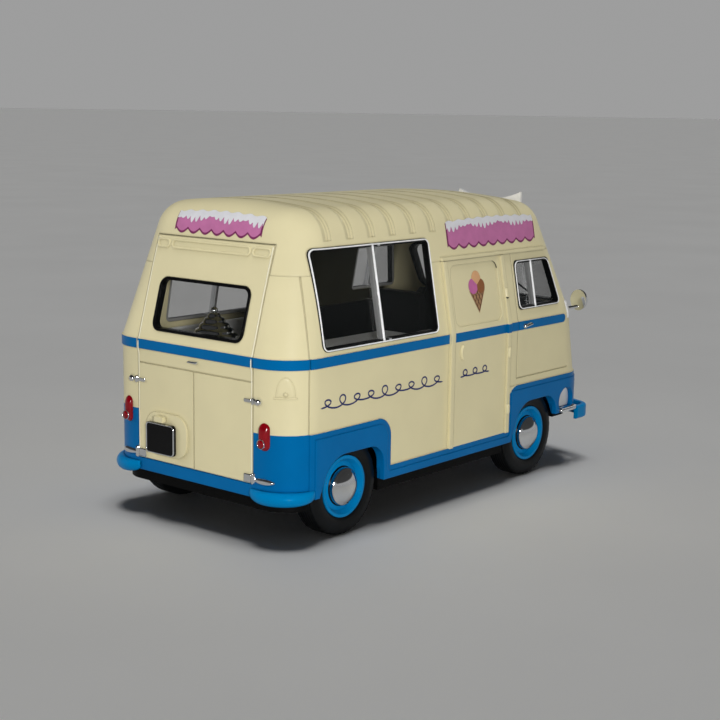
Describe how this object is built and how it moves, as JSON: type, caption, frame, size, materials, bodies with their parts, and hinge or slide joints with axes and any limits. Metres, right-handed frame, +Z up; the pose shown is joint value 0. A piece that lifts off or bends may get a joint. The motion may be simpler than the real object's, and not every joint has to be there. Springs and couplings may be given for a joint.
{
  "type": "die-cast scale model ice cream van",
  "caption": "Scale model of a high-roof ice cream van with a hollow glazed body, serving window and counter, a ribbed roof, and two wheel sets that turn freely on steel axles.",
  "frame": {"origin": "on the ground under the middle of the overall box", "axes": "+X forward, +Y to the left of the van, +Z up"},
  "size_m": [0.0922, 0.0452, 0.0527],
  "materials": {
    "cream_casting": "gloss paint, cream over blue",
    "cream_moulding": "gloss cream",
    "black_base": "matte black",
    "steel": "bright turned steel",
    "black_inside": "matte black",
    "grey_counter": "satin light grey",
    "bright": "bright plated",
    "clear": "clear",
    "seal": "black",
    "bumper_blue": "gloss mid blue",
    "rim_blue": "gloss mid blue",
    "red_lamp": "gloss red",
    "amber_lamp": "gloss amber",
    "plate_black": "gloss black, blank",
    "step_silver": "satin silver",
    "sign_white": "white, blank",
    "tyre": "matte black"
  },
  "bodies": {
    "van": {"body_shell": "cream_casting", "roof": "cream_moulding", "base_plate": "black_base", "base_screws": "steel", "interior_tub": "black_inside", "seats": "black_inside", "dashboard": "black_inside", "steering_wheel": "black_inside", "serving_counter": "grey_counter", "tub_lid": "bright", "serving_frame": "bright", "serving_glass": "clear", "left_frame": "bright", "left_glass": "clear", "door_frame_right": "bright", "door_frame_left": "bright", "door_glass_right": "clear", "door_glass_left": "clear", "rear_seal": "seal", "rear_glass": "clear", "windscreen_seal": "seal", "windscreen": "clear", "front_bumper": "bumper_blue", "rear_bumper_right": "bumper_blue", "rear_bumper_left": "bumper_blue", "tail_lamps": "red_lamp", "headlamp_bezels": "bright", "headlamp_lenses": "clear", "front_indicators": "amber_lamp", "front_grille": "bright", "rear_plate": "plate_black", "plate_lamp": "cream_casting", "rear_hinges": "bright", "door_handles": "bright", "step_wells": "step_silver", "mirror_right": "bright", "mirror_left": "bright", "wipers": "black_inside", "roof_sign": "sign_white"},
    "front_wheels": {"front_axle": "steel", "tyre_front_right": "tyre", "rim_front_right": "rim_blue", "hubcap_front_right": "bright", "tyre_front_left": "tyre", "rim_front_left": "rim_blue", "hubcap_front_left": "bright"},
    "rear_wheels": {"rear_axle": "steel", "tyre_rear_right": "tyre", "rim_rear_right": "rim_blue", "hubcap_rear_right": "bright", "tyre_rear_left": "tyre", "rim_rear_left": "rim_blue", "hubcap_rear_left": "bright"}
  },
  "joints": [
    {"name": "front_axle_spin", "type": "hinge", "parent": "van", "child": "front_wheels", "pos_m": [0.02267, 0, 0.00793], "axis": [0, 1, 0], "continuous": true},
    {"name": "rear_axle_spin", "type": "hinge", "parent": "van", "child": "rear_wheels", "pos_m": [-0.03017, 0, 0.00793], "axis": [0, 1, 0], "continuous": true}
  ]
}
